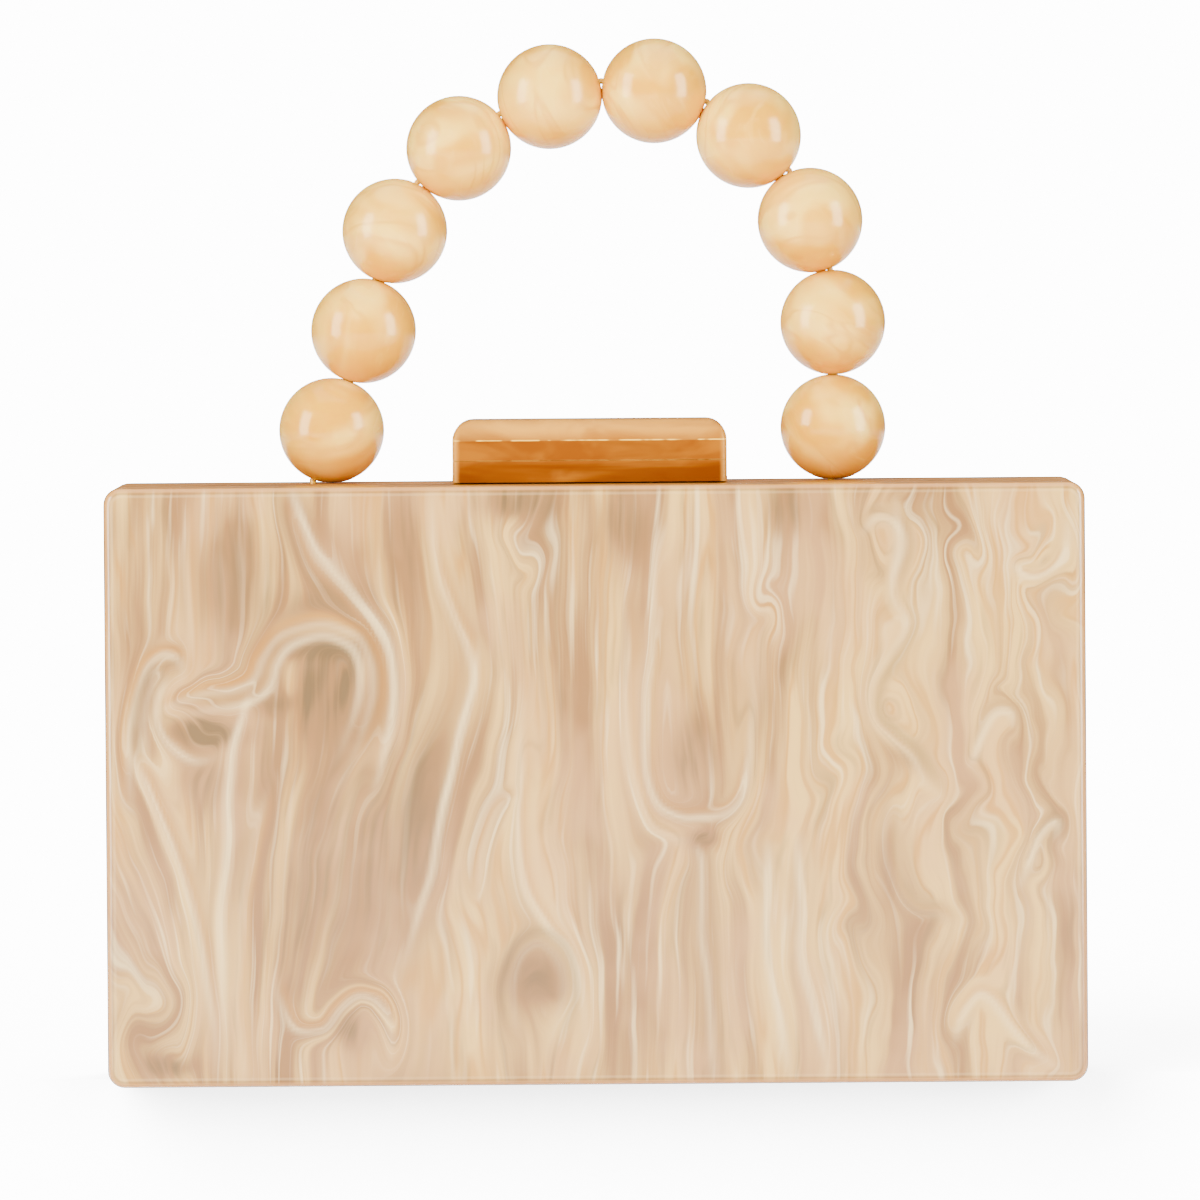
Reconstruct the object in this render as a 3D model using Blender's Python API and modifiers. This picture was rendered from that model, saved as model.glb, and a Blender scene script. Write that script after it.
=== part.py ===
"""Acrylic box clutch: two hinged trays, a clasp on the top and a handle of strung beads.

Units are metres and +Z is up. The front of the bag faces -Y, and the seam between
its two halves lies in the plane Y = 0. The origin is on the surface that the bag
stands on, in the middle of the seam.
"""

import math

import bmesh
import bpy
from mathutils import Matrix, Vector

# Fit between pieces that touch on the real bag
FIT_GAP = 0.0003

# Box
BOX_WIDTH = 0.188
BOX_HEIGHT = 0.115
BOX_DEPTH = 0.052
WALL = 0.004
PANEL_THICKNESS = 0.004
CORNER_RADIUS = 0.0032
EDGE_ROUND = 0.0018

# Hinges, let into the bottom of both halves
HINGE_LENGTH = 0.024
HINGE_INSET = 0.039
HINGE_REACH = 0.008
LEAF_THICKNESS = 0.0009
KNUCKLE_RADIUS = 0.0015
KNUCKLE_BORE = 0.0008
HINGE_PIN_RADIUS = 0.0005
KNUCKLE_GROUND_GAP = 0.0002
LEAF_RISE = 0.0002

# Clasp, on the top across the seam
CLASP_WIDTH = 0.0529
CLASP_HEIGHT = 0.0124
CLASP_DEPTH = 0.022
CLASP_CENTRE_X = -0.0008
CLASP_STEP = 0.0042
CLASP_TOP_ROUND = 0.004
CLASP_CORNER_ROUND = 0.0012

# Beads and wire of the handle
BEAD_DIAMETER = 0.020
BEAD_HOLE_RADIUS = 0.0012
WIRE_RADIUS = 0.0006
HANDLE_CENTRE_X = -0.0022
# The string's route: the rise of each link from bead to bead, in degrees, left to right
HANDLE_LINK_ANGLES = (72.3, 72.7, 52.4, 29.7, 3.3, -25.2, -53.8, -77.3, -89.8)
STOP_RADIUS = 0.0022
STOP_HEIGHT = 0.004
WIRE_TAIL = 0.0006

# Fineness of the rounded forms
ROUND_SEGMENTS = 4
TURNED_STEPS = 16
BEAD_ARC_STEPS = 8
PIN_SIDES = 12

# How often the beads' holes are turned towards each other
HOLE_ALIGNING_ROUNDS = 6

# Margin by which a cutter passes through what it cuts
CUT_MARGIN = 0.002

# Sizes worked out from the ones above
HALF_SEAM = FIT_GAP / 2
PANEL_INNER_Y = BOX_DEPTH / 2 - PANEL_THICKNESS
FRAME_OUTER_Y = PANEL_INNER_Y - FIT_GAP
HINGE_AXIS_Z = KNUCKLE_RADIUS + KNUCKLE_GROUND_GAP
GROOVE_APEX_Z = HINGE_AXIS_Z + FIT_GAP
LEAF_BOTTOM_Z = KNUCKLE_GROUND_GAP + LEAF_RISE
LEAF_TOP_Z = LEAF_BOTTOM_Z + LEAF_THICKNESS
BEAD_RADIUS = BEAD_DIAMETER / 2
HANDLE_Y = (HALF_SEAM + FRAME_OUTER_Y) / 2

COLLECTION_NAME = "acrylic_box_clutch"
CUTTER_COLLECTION_NAME = "cutters"


def clear_scene():
    for obj in list(bpy.data.objects):
        bpy.data.objects.remove(obj, do_unlink=True)


def make_collection(name):
    collection = bpy.data.collections.new(name)
    bpy.context.scene.collection.children.link(collection)
    return collection


def make_material(name, colour, roughness, metallic=0.0):
    material = bpy.data.materials.new(name)
    material.use_nodes = True
    shader = material.node_tree.nodes["Principled BSDF"]
    shader.inputs["Base Color"].default_value = (*colour, 1.0)
    shader.inputs["Roughness"].default_value = roughness
    shader.inputs["Metallic"].default_value = metallic
    material.diffuse_color = (*colour, 1.0)
    return material


class Bag:
    """Where the pieces, the cutters and the two halves' pivots are kept while the bag is built."""

    def __init__(self):
        self.parts = make_collection(COLLECTION_NAME)
        self.cutters = make_collection(CUTTER_COLLECTION_NAME)
        self.halves = {
            "front": self.add_pivot("front_half", (0.0, 0.0, HINGE_AXIS_Z)),
            "back": self.add_pivot("back_half", (0.0, 0.0, 0.0)),
        }

    def add_pivot(self, name, location):
        pivot = bpy.data.objects.new(name, None)
        pivot.location = location
        self.parts.objects.link(pivot)
        return pivot

    def add_piece(self, name, mesh, material, half, location=(0.0, 0.0, 0.0)):
        """Adds a piece at a place in the bag, and parents it to the pivot of its half."""
        mesh.name = name
        piece = bpy.data.objects.new(name, mesh)
        piece.location = location
        self.hang_on_half(piece, half)
        mesh.materials.append(material)
        self.parts.objects.link(piece)
        return piece

    def hang_on_half(self, piece, half):
        pivot = self.halves[half]
        piece.parent = pivot
        piece.matrix_parent_inverse = Matrix.Translation(-pivot.location)

    def add_cutter(self, name, mesh, location=(0.0, 0.0, 0.0)):
        cutter = bpy.data.objects.new(name, mesh)
        cutter.location = location
        cutter.hide_render = True
        cutter.display_type = "WIRE"
        self.cutters.objects.link(cutter)
        return cutter


def add_boolean(piece, other, operation):
    modifier = piece.modifiers.new(other.name, "BOOLEAN")
    modifier.operation = operation
    modifier.solver = "EXACT"
    modifier.object = other


def mesh_from(bm, name, smooth_angle=None):
    mesh = bpy.data.meshes.new(name)
    bm.to_mesh(mesh)
    bm.free()
    if smooth_angle is not None:
        mesh.shade_smooth()
        mesh.set_sharp_from_angle(angle=math.radians(smooth_angle))
    return mesh


def box_between(low, high):
    """A box from its low corner to its high corner, in a new bmesh."""
    low, high = Vector(low), Vector(high)
    bm = bmesh.new()
    bmesh.ops.create_cube(bm, size=1.0)
    bmesh.ops.scale(bm, verts=bm.verts, vec=high - low)
    bmesh.ops.translate(bm, verts=bm.verts, vec=(low + high) / 2)
    return bm


def box_mesh(name, low, high):
    return mesh_from(box_between(low, high), name)


def bar_mesh(name, radius, length, sides):
    """A round bar along X, centred on the origin."""
    bm = bmesh.new()
    bmesh.ops.create_cone(
        bm, cap_ends=True, segments=sides, radius1=radius, radius2=radius, depth=length,
        matrix=Matrix.Rotation(math.radians(90), 4, "Y"),
    )
    return mesh_from(bm, name, 40)


def post_mesh(name, radius, length, sides):
    """A round bar along Z, centred on the origin."""
    bm = bmesh.new()
    bmesh.ops.create_cone(
        bm, cap_ends=True, segments=sides, radius1=radius, radius2=radius, depth=length
    )
    return mesh_from(bm, name, 40)


def bevel_edges(bm, edges, width):
    bmesh.ops.bevel(
        bm, geom=edges, offset=width, offset_type="OFFSET", segments=ROUND_SEGMENTS,
        profile=0.5, affect="EDGES", clamp_overlap=True,
    )


def edges_along(bm, axis):
    return [e for e in bm.edges if abs((e.verts[0].co - e.verts[1].co).normalized()[axis]) > 0.999]


def edges_at(bm, axis, level):
    return [e for e in bm.edges if all(abs(v.co[axis] - level) < 1e-6 for v in e.verts)]


def slab_between(y_low, y_high):
    """The box's full outline between two planes across its depth, with its four corners rounded."""
    bm = box_between((-BOX_WIDTH / 2, y_low, 0.0), (BOX_WIDTH / 2, y_high, BOX_HEIGHT))
    bevel_edges(bm, edges_along(bm, 1), CORNER_RADIUS)
    return bm


def build_panel(bag, half, side, material):
    """One large face: a sheet with rounded corners, whose outer edge is rounded over."""
    inner, outer = side * PANEL_INNER_Y, side * BOX_DEPTH / 2
    bm = slab_between(min(inner, outer), max(inner, outer))
    bevel_edges(bm, edges_at(bm, 1, outer), EDGE_ROUND)
    bag.add_piece(f"{half}_panel", mesh_from(bm, "panel", 35), material, half)


def build_frame_cutters(bag):
    """What both frames are cut by: their hollow, the groove under the seam and the hinges' seats."""
    reach = BOX_DEPTH / 2
    hollow = box_mesh(
        "hollow",
        (-BOX_WIDTH / 2 + WALL, -reach, WALL),
        (BOX_WIDTH / 2 - WALL, reach, BOX_HEIGHT - WALL),
    )
    cutters = [bag.add_cutter("cut_hollow", hollow)]

    # A square bar turned onto its edge leaves the two walls with 45 degree chamfers
    half_bar = GROOVE_APEX_Z
    length = BOX_WIDTH / 2 + CUT_MARGIN
    groove = bag.add_cutter(
        "cut_seam_groove",
        box_mesh("groove", (-length, -half_bar, -half_bar), (length, half_bar, half_bar)),
        (0.0, 0.0, GROOVE_APEX_Z - half_bar * math.sqrt(2)),
    )
    groove.rotation_euler = (math.radians(45), 0.0, 0.0)
    cutters.append(groove)

    seat_half = HINGE_LENGTH / 2 + FIT_GAP
    seat_reach = HINGE_REACH + FIT_GAP
    for side_name, x in hinge_places():
        seat = box_mesh(
            "hinge_seat",
            (-seat_half, -seat_reach, -CUT_MARGIN),
            (seat_half, seat_reach, LEAF_TOP_Z + FIT_GAP),
        )
        cutters.append(bag.add_cutter(f"cut_hinge_seat_{side_name}", seat, (x, 0.0, 0.0)))
        room = bar_mesh("knuckle_room", KNUCKLE_RADIUS + FIT_GAP, 2 * (seat_half + FIT_GAP), TURNED_STEPS)
        cutters.append(bag.add_cutter(f"cut_knuckle_room_{side_name}", room, (x, 0.0, HINGE_AXIS_Z)))
    return cutters


def build_frame(bag, half, side, cutters, material):
    """The ring of four walls behind one panel, from the seam to the panel."""
    seam, outer = side * HALF_SEAM, side * FRAME_OUTER_Y
    bm = slab_between(min(seam, outer), max(seam, outer))
    frame = bag.add_piece(f"{half}_frame", mesh_from(bm, "frame", 35), material, half)
    for cutter in cutters:
        add_boolean(frame, cutter, "DIFFERENCE")
    return frame


def drill_wire_holes(bag, frame, feet):
    """The two holes in the top wall that the handle's wire goes down through."""
    for side_name, x in zip(("left", "right"), feet):
        drill = post_mesh("wire_hole", BEAD_HOLE_RADIUS, WALL + 2 * CUT_MARGIN, TURNED_STEPS)
        place = (x, HANDLE_Y, BOX_HEIGHT - WALL / 2)
        add_boolean(frame, bag.add_cutter(f"cut_wire_hole_{side_name}", drill, place), "DIFFERENCE")


def hinge_places():
    """The hinges' middles keep their inset from the box's sides."""
    x = BOX_WIDTH / 2 - HINGE_INSET
    return (("left", -x), ("right", x))


def knuckle_spans():
    """Each leaf's knuckles as spans along the hinge: the back leaf has the outer thirds."""
    end, third, half_gap = HINGE_LENGTH / 2, HINGE_LENGTH / 6, FIT_GAP / 2
    return {
        "front": [(-third + half_gap, third - half_gap)],
        "back": [(-end, -third - half_gap), (third + half_gap, end)],
    }


def build_hinge_leaf(bag, half, side, side_name, x, material):
    """A flat leaf in its seat, with its knuckles round the pin and notches for the other leaf's."""
    spans = knuckle_spans()
    other = "back" if half == "front" else "front"
    name = f"hinge_leaf_{half}_{side_name}"
    low = (-HINGE_LENGTH / 2, min(0.0, side * HINGE_REACH), LEAF_BOTTOM_Z)
    high = (HINGE_LENGTH / 2, max(0.0, side * HINGE_REACH), LEAF_TOP_Z)
    leaf = bag.add_piece(name, box_mesh("leaf", low, high), material, half, (x, 0.0, 0.0))

    notch_reach = KNUCKLE_RADIUS + FIT_GAP
    for number, (start, end) in enumerate(spans[other]):
        start = start - FIT_GAP if start > -HINGE_LENGTH / 2 else start - CUT_MARGIN
        end = end + FIT_GAP if end < HINGE_LENGTH / 2 else end + CUT_MARGIN
        notch = box_mesh("notch", (start, -notch_reach, -CUT_MARGIN), (end, notch_reach, 2 * HINGE_AXIS_Z))
        cutter = bag.add_cutter(f"cut_notch_{half}_{side_name}_{number}", notch, (x, 0.0, 0.0))
        add_boolean(leaf, cutter, "DIFFERENCE")
    for number, (start, end) in enumerate(spans[half]):
        knuckle = bar_mesh("knuckle", KNUCKLE_RADIUS, end - start, TURNED_STEPS)
        place = (x + (start + end) / 2, 0.0, HINGE_AXIS_Z)
        add_boolean(leaf, bag.add_cutter(f"add_knuckle_{half}_{side_name}_{number}", knuckle, place), "UNION")
    bore = bar_mesh("bore", KNUCKLE_BORE, HINGE_LENGTH + 2 * CUT_MARGIN, PIN_SIDES)
    add_boolean(leaf, bag.add_cutter(f"cut_bore_{half}_{side_name}", bore, (x, 0.0, HINGE_AXIS_Z)), "DIFFERENCE")


def build_hinges(bag, material):
    for side_name, x in hinge_places():
        build_hinge_leaf(bag, "front", -1, side_name, x, material)
        build_hinge_leaf(bag, "back", 1, side_name, x, material)
        pin = bar_mesh("pin", HINGE_PIN_RADIUS, HINGE_LENGTH, PIN_SIDES)
        bag.add_piece(f"hinge_pin_{side_name}", pin, material, "back", (x, 0.0, HINGE_AXIS_Z))


def clasp_block():
    """The whole box of the closed clasp, with weights on the edges that are rounded."""
    bottom = BOX_HEIGHT + FIT_GAP
    top = BOX_HEIGHT + CLASP_HEIGHT
    bm = box_between(
        (CLASP_CENTRE_X - CLASP_WIDTH / 2, -CLASP_DEPTH / 2, bottom),
        (CLASP_CENTRE_X + CLASP_WIDTH / 2, CLASP_DEPTH / 2, top),
    )
    weights = bm.edges.layers.float.new("bevel_weight_edge")
    for edge in edges_along(bm, 2):
        edge[weights] = CLASP_CORNER_ROUND / CLASP_TOP_ROUND
    for edge in edges_at(bm, 2, top):
        edge[weights] = 1.0
    return mesh_from(bm, "clasp")


def add_clasp_rounding(piece):
    """Rounds the top over generously and only softens the upright corners."""
    bevel = piece.modifiers.new("rounding", "BEVEL")
    bevel.limit_method = "WEIGHT"
    bevel.width = CLASP_TOP_ROUND
    bevel.segments = ROUND_SEGMENTS


def build_clasp(bag, material):
    """The bar on the back half, and the keeper on the front half under the bar's overhang."""
    half_width = CLASP_WIDTH / 2 + CUT_MARGIN
    front = -CLASP_DEPTH / 2 - CUT_MARGIN
    step_z = BOX_HEIGHT + CLASP_STEP

    bar = bag.add_piece("clasp_bar", clasp_block(), material, "back")
    add_clasp_rounding(bar)
    undercut = box_mesh(
        "undercut", (-half_width, front, BOX_HEIGHT - CUT_MARGIN), (half_width, HALF_SEAM, step_z + FIT_GAP)
    )
    add_boolean(bar, bag.add_cutter("cut_clasp_undercut", undercut, (CLASP_CENTRE_X, 0.0, 0.0)), "DIFFERENCE")

    keeper = bag.add_piece("clasp_keeper", clasp_block(), material, "front")
    add_clasp_rounding(keeper)
    room = box_mesh("keeper_room", (-half_width, front, BOX_HEIGHT - CUT_MARGIN), (half_width, -HALF_SEAM, step_z))
    add_boolean(keeper, bag.add_cutter("keep_clasp_keeper", room, (CLASP_CENTRE_X, 0.0, 0.0)), "INTERSECT")


def direction_at(angle):
    return Vector((math.cos(angle), 0.0, math.sin(angle)))


def facing_holes(links):
    """The rise of each bead's hole, turned little by little until neighbouring mouths face each other."""
    before, after = links[:1] + links, links + links[-1:]
    holes = [(a + b) / 2 for a, b in zip(before, after)]
    for _ in range(HOLE_ALIGNING_ROUNDS):
        misfits = [(a + b) / 2 - link for a, b, link in zip(holes, holes[1:], links)]
        shares = zip([0.0] + misfits, misfits + [0.0])
        holes = [hole - (a + b) / 2 for hole, (a, b) in zip(holes, shares)]
    return holes


def handle_layout():
    """The beads' centres and the direction of each bead's hole, for an arch that stands level."""
    pitch = BEAD_DIAMETER + FIT_GAP
    links = [math.radians(a) for a in HANDLE_LINK_ANGLES]
    level = math.atan2(sum(math.sin(a) for a in links), sum(math.cos(a) for a in links))
    links = [a - level for a in links]

    reach = pitch * sum(math.cos(a) for a in links)
    centre = Vector((HANDLE_CENTRE_X - reach / 2, HANDLE_Y, BOX_HEIGHT + FIT_GAP + BEAD_RADIUS))
    centres = [centre]
    for link in links:
        centre = centre + pitch * direction_at(link)
        centres.append(centre)
    return centres, [direction_at(a) for a in facing_holes(links)]


def turned_mesh(name, profile, smooth_angle):
    """A ring turned about Z from a closed profile of (radius, height) points that runs down its outer side."""
    mesh = bpy.data.meshes.new(name)
    count = len(profile)
    mesh.from_pydata([(r, 0.0, z) for r, z in profile], [(i, (i + 1) % count) for i in range(count)], [])
    ring = bpy.data.objects.new(name, mesh)
    screw = ring.modifiers.new("turn", "SCREW")
    screw.steps = screw.render_steps = TURNED_STEPS
    screw.use_merge_vertices = True
    screw.merge_threshold = 1e-6
    bpy.context.scene.collection.objects.link(ring)
    graph = bpy.context.evaluated_depsgraph_get()
    turned = bpy.data.meshes.new_from_object(ring.evaluated_get(graph))
    bpy.data.objects.remove(ring, do_unlink=True)
    turned.shade_smooth()
    turned.set_sharp_from_angle(angle=math.radians(smooth_angle))
    return turned


def bead_profile():
    """Down the outside of a ball from one end of its hole to the other. The hole's wall closes it."""
    start = math.asin(BEAD_HOLE_RADIUS / BEAD_RADIUS)
    points = []
    for step in range(BEAD_ARC_STEPS + 1):
        angle = start + (math.pi - 2 * start) * step / BEAD_ARC_STEPS
        points.append((BEAD_RADIUS * math.sin(angle), BEAD_RADIUS * math.cos(angle)))
    return points


def build_beads(bag, centres, directions, material):
    for number, (centre, direction) in enumerate(zip(centres, directions), start=1):
        mesh = turned_mesh("bead", bead_profile(), 50)
        bead = bag.add_piece(f"bead_{number:02d}", mesh, material, "back", centre)
        bead.rotation_euler = (0.0, math.atan2(direction.x, direction.z), 0.0)


def wire_feet(centres, directions):
    """Where the wire, just outside the end beads, turns straight down into the top wall."""
    reach = BEAD_RADIUS + FIT_GAP
    return centres[0] - reach * directions[0], centres[-1] + reach * directions[-1]


def build_wire(bag, centres, directions, material):
    """The wire runs straight through each bead and bends only between them."""
    end_z = BOX_HEIGHT - WALL - FIT_GAP - STOP_HEIGHT - WIRE_TAIL
    feet = wire_feet(centres, directions)
    mouths_out = [centre + BEAD_RADIUS * way for centre, way in zip(centres, directions)]
    mouths_in = [centre - BEAD_RADIUS * way for centre, way in zip(centres, directions)]
    between = [(a + b) / 2 for a, b in zip(mouths_out, mouths_in[1:])]
    tails = [Vector((foot.x, HANDLE_Y, end_z)) for foot in feet]
    points = [tails[0], feet[0], *between, feet[1], tails[1]]

    curve = bpy.data.curves.new("handle_wire", "CURVE")
    curve.dimensions = "3D"
    curve.bevel_depth = WIRE_RADIUS
    curve.bevel_resolution = 2
    curve.use_fill_caps = True
    curve.materials.append(material)
    spline = curve.splines.new("POLY")
    spline.points.add(len(points) - 1)
    for point, place in zip(spline.points, points):
        point.co = (*place, 1.0)
    wire = bpy.data.objects.new("handle_wire", curve)
    bag.hang_on_half(wire, "back")
    bag.parts.objects.link(wire)


def build_wire_stops(bag, feet, material):
    """A sleeve crimped on each end of the wire, just under the top wall."""
    bore = WIRE_RADIUS + FIT_GAP
    profile = [(STOP_RADIUS, STOP_HEIGHT), (STOP_RADIUS, 0.0), (bore, 0.0), (bore, STOP_HEIGHT)]
    bottom = BOX_HEIGHT - WALL - FIT_GAP - STOP_HEIGHT
    for side_name, foot in zip(("left", "right"), feet):
        mesh = turned_mesh("wire_stop", profile, 40)
        bag.add_piece(f"wire_stop_{side_name}", mesh, material, "back", (foot.x, HANDLE_Y, bottom))


def main():
    clear_scene()
    bag = Bag()
    face = make_material("marbled_acrylic", (0.66, 0.48, 0.32), 0.12)
    edge = make_material("peach_acrylic", (0.72, 0.43, 0.20), 0.15)
    amber = make_material("amber_acrylic", (0.55, 0.22, 0.05), 0.12)
    pearl = make_material("pearl_bead", (0.78, 0.55, 0.32), 0.15)
    brass = make_material("brass", (0.78, 0.58, 0.26), 0.30, metallic=1.0)
    steel = make_material("steel_wire", (0.70, 0.62, 0.48), 0.30, metallic=1.0)

    centres, directions = handle_layout()
    feet = wire_feet(centres, directions)

    build_panel(bag, "front", -1, face)
    build_panel(bag, "back", 1, face)
    frame_cutters = build_frame_cutters(bag)
    build_frame(bag, "front", -1, frame_cutters, edge)
    back_frame = build_frame(bag, "back", 1, frame_cutters, edge)
    drill_wire_holes(bag, back_frame, [foot.x for foot in feet])
    build_hinges(bag, brass)
    build_clasp(bag, amber)
    build_beads(bag, centres, directions, pearl)
    build_wire(bag, centres, directions, steel)
    build_wire_stops(bag, feet, brass)


main()
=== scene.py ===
"""A hard box clutch in marbled acrylic with a beaded top handle.

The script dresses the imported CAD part: two marbled slabs, the tinted shells between them,
the amber clasp, ten drilled beads on a wire, two brass hinges, and a plain studio round them.
It is laid out as an add-on, so the same operators can be pressed one by one in the sidebar.
"""

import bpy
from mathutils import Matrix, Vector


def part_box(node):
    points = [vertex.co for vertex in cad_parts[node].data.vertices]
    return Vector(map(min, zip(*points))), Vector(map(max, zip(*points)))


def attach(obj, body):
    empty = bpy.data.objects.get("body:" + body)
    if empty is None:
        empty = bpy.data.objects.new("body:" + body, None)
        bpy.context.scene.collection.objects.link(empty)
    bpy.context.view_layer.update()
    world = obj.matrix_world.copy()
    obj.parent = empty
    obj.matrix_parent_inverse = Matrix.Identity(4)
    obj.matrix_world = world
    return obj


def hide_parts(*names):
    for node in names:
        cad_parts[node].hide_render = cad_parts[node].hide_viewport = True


bl_info = {
    "name": "Marbled Box Clutch",
    "version": (1, 0, 0),
    "blender": (4, 5, 0),
    "location": "3D View > Sidebar > Clutch",
    "description": "Models the looks of a marbled acrylic box clutch round its CAD frame",
    "category": "Object",
}

import math

import bpy
import numpy as np
from bpy.props import FloatProperty, FloatVectorProperty, IntProperty, PointerProperty
from bpy.types import Operator, Panel, PropertyGroup
from mathutils import Matrix, Vector, noise

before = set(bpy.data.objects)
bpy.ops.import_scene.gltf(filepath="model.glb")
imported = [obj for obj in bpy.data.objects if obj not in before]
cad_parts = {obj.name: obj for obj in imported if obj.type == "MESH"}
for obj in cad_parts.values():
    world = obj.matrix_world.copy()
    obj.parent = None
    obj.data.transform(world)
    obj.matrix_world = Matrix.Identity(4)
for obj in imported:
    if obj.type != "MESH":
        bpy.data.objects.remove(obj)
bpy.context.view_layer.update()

MM = 0.001
MARBLE_SEED = 3  # without it the marble's small folds would differ from run to run
HINGE_HEIGHT = 1.8 * MM  # below it the halves keep the chamfered gap that the hinges need
SEAM_LINE = 0.02 * MM  # from the seam's middle to each shell: a fine line stays between them
KEEPER_GROWTH = 0.3 * MM  # carries the keeper up to the bar
CLASP_LINE = 0.02 * MM  # the fine line that stays between the bar and the keeper
BEAD_SWELL = 0.2 * MM  # closes the sliver of air that the frame keeps between the beads
STOP_EDGE = 0.4 * MM  # round on the crimped stops of the wire
FAR_FROM_RIM = 5 * MM  # what the slab's inner face says of its distance from the rim
RIM_LINES = 6  # mesh lines over the rounded rim of a slab


def paint(code):
    """A colour written as on a paint card, as the linear values that Blender keeps"""
    shares = [int(code[i:i + 2], 16) / 255 for i in (0, 2, 4)]
    linear = [s / 12.92 if s <= 0.04045 else ((s + 0.055) / 1.055) ** 2.4 for s in shares]
    return (*linear, 1.0)


def colour(name, description, code):
    """A colour in the sidebar"""
    return FloatVectorProperty(
        name=name, description=description, subtype="COLOR", size=4, min=0, max=1,
        default=paint(code),
    )


def length(name, description, default):
    """A size in the sidebar"""
    return FloatProperty(
        name=name, description=description, default=default, min=0, unit="LENGTH", precision=5
    )


class ClutchSizes(PropertyGroup):
    """Sizes that the frame leaves to the looks"""

    slab_corner: length("Slab corner", "Radius of the slab's corners, seen from the front", 0.0032)
    slab_round: length("Slab edge", "Round on the slab's outer edge", 0.0018)
    slab_cell: length("Slab cell", "Spacing of the slab's mesh, on which the marble flows", 0.00072)
    shell_edge: length("Shell edge", "Small round on the shells' edges", 0.0003)
    clasp_round: length("Clasp top round", "Round along the clasp's top edges", 0.004)
    clasp_corner: length("Clasp corner", "Round on the clasp's upright corners", 0.0012)
    clasp_edge: length("Clasp edge", "Small round on the clasp's other edges", 0.00012)
    bead_hole: length("Bead hole", "Radius of the hole through each bead", 0.0012)
    brass_edge: length("Brass edge", "Small round on the hinges' edges", 0.00012)
    bead_segments: IntProperty(
        name="Bead segments", description="Faces round each bead", default=72, min=16, max=128
    )


class ClutchColours(PropertyGroup):
    """Colours of the acrylics and metals"""

    marble_tan: colour("Marble tan", "Ground colour of the marbled slabs", "8C6134")
    marble_cream: colour("Marble cream", "Pale streaks of the marble", "D3A75A")
    marble_rose: colour("Marble rose", "Pinkish clouds of the marble", "C5925A")
    marble_amber: colour("Marble amber", "Orange lines of the marble", "AC7020")
    marble_olive: colour("Marble olive", "Dark smoky patches of the marble", "5F4928")
    marble_white: colour("Marble white", "Whitest wisps of the marble", "E7C88D")
    slab_rim: colour("Slab rim", "Tinted rim of the slabs", "C88942")
    shell_peach: colour("Shell peach", "Ground colour of the shells", "AD7124")
    shell_deep: colour("Shell deep", "Darker swirls of the shells", "865112")
    clasp_amber: colour("Clasp amber", "Body of the clasp", "7C3F00")
    clasp_rust: colour("Clasp rust", "Deepest streaks of the clasp", "632B00")
    clasp_gold: colour("Clasp gold", "Golden clouds in the clasp", "975800")
    # painted light: colour of the clasp's lit top and ends
    clasp_painted_light: colour("Clasp honey", "Light top and ends of the clasp", "D49535")
    bead_peach: colour("Bead peach", "Body of the beads", "E3A20D")
    bead_pearl: colour("Bead pearl", "Pearly clouds in the beads", "FFCB52")
    # bead_amber also carries the painted shade on the beads' undersides
    bead_amber: colour("Bead amber", "Warm undersides and veins of the beads", "D18B00")
    brass: colour("Brass", "Hinge metal", "C9A45C")
    brass_hollows: colour("Brass hollows", "Darker places of the hinge metal", "8A6A30")
    steel: colour("Steel", "Crimped stops of the handle's wire", "E7BC61")
    steel_hollows: colour("Steel hollows", "Darker places of the stops", "8F8878")
    floor: colour("Floor", "Plain pale floor", "F4F3F1")


def choices(context):
    """The sizes and colours that are set in the sidebar"""
    return context.scene.clutch_sizes, context.scene.clutch_colours


def link(thing):
    bpy.context.scene.collection.objects.link(thing)


def begin():
    """Leaves edit mode and selects nothing, so that an operator acts only on the new piece"""
    if bpy.context.object and bpy.context.object.mode != "OBJECT":
        bpy.ops.object.mode_set(mode="OBJECT")
    bpy.ops.object.select_all(action="DESELECT")


def started(name):
    """Names the piece that was just added"""
    piece = bpy.context.active_object
    piece.name = piece.data.name = name
    return piece


def only(piece):
    """Selects the piece and nothing else"""
    bpy.ops.object.select_all(action="DESELECT")
    piece.select_set(True)
    bpy.context.view_layer.objects.active = piece


def settle(piece):
    """Puts the piece's place into its mesh"""
    only(piece)
    bpy.ops.object.transform_apply(location=True, rotation=True, scale=True)


def edit(piece):
    """Opens the piece in edit mode with all of it selected"""
    only(piece)
    bpy.ops.object.mode_set(mode="EDIT")
    bpy.ops.mesh.select_all(action="SELECT")


def done():
    """Leaves edit mode"""
    bpy.ops.object.mode_set(mode="OBJECT")


def pick(piece, kind, test):
    """Selects the faces, edges or vertices that pass the test, and nothing else"""
    bpy.ops.object.mode_set(mode="EDIT")
    bpy.ops.mesh.select_mode(type=kind)
    bpy.ops.mesh.select_all(action="DESELECT")
    bpy.ops.object.mode_set(mode="OBJECT")
    mesh = piece.data
    parts = {"FACE": mesh.polygons, "EDGE": mesh.edges, "VERT": mesh.vertices}[kind]
    for part in parts:
        part.select = test(part)
    bpy.ops.object.mode_set(mode="EDIT")


def apply_modifier(piece, kind, **settings):
    """Adds a modifier with these settings and applies it"""
    only(piece)
    modifier = piece.modifiers.new(kind.title(), kind)
    for key, value in settings.items():
        setattr(modifier, key, value)
    bpy.ops.object.modifier_apply(modifier=modifier.name)


def round_edges(piece, width, segments, angle=50):
    """Rounds the edges that turn by more than the angle, in degrees"""
    apply_modifier(piece, "BEVEL", width=width, segments=segments,
                   limit_method="ANGLE", angle_limit=math.radians(angle))


def smooth(piece, angle=35):
    """Shades smoothly over edges that turn by less than the angle, in degrees"""
    only(piece)
    bpy.ops.object.shade_smooth_by_angle(angle=math.radians(angle))


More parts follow.
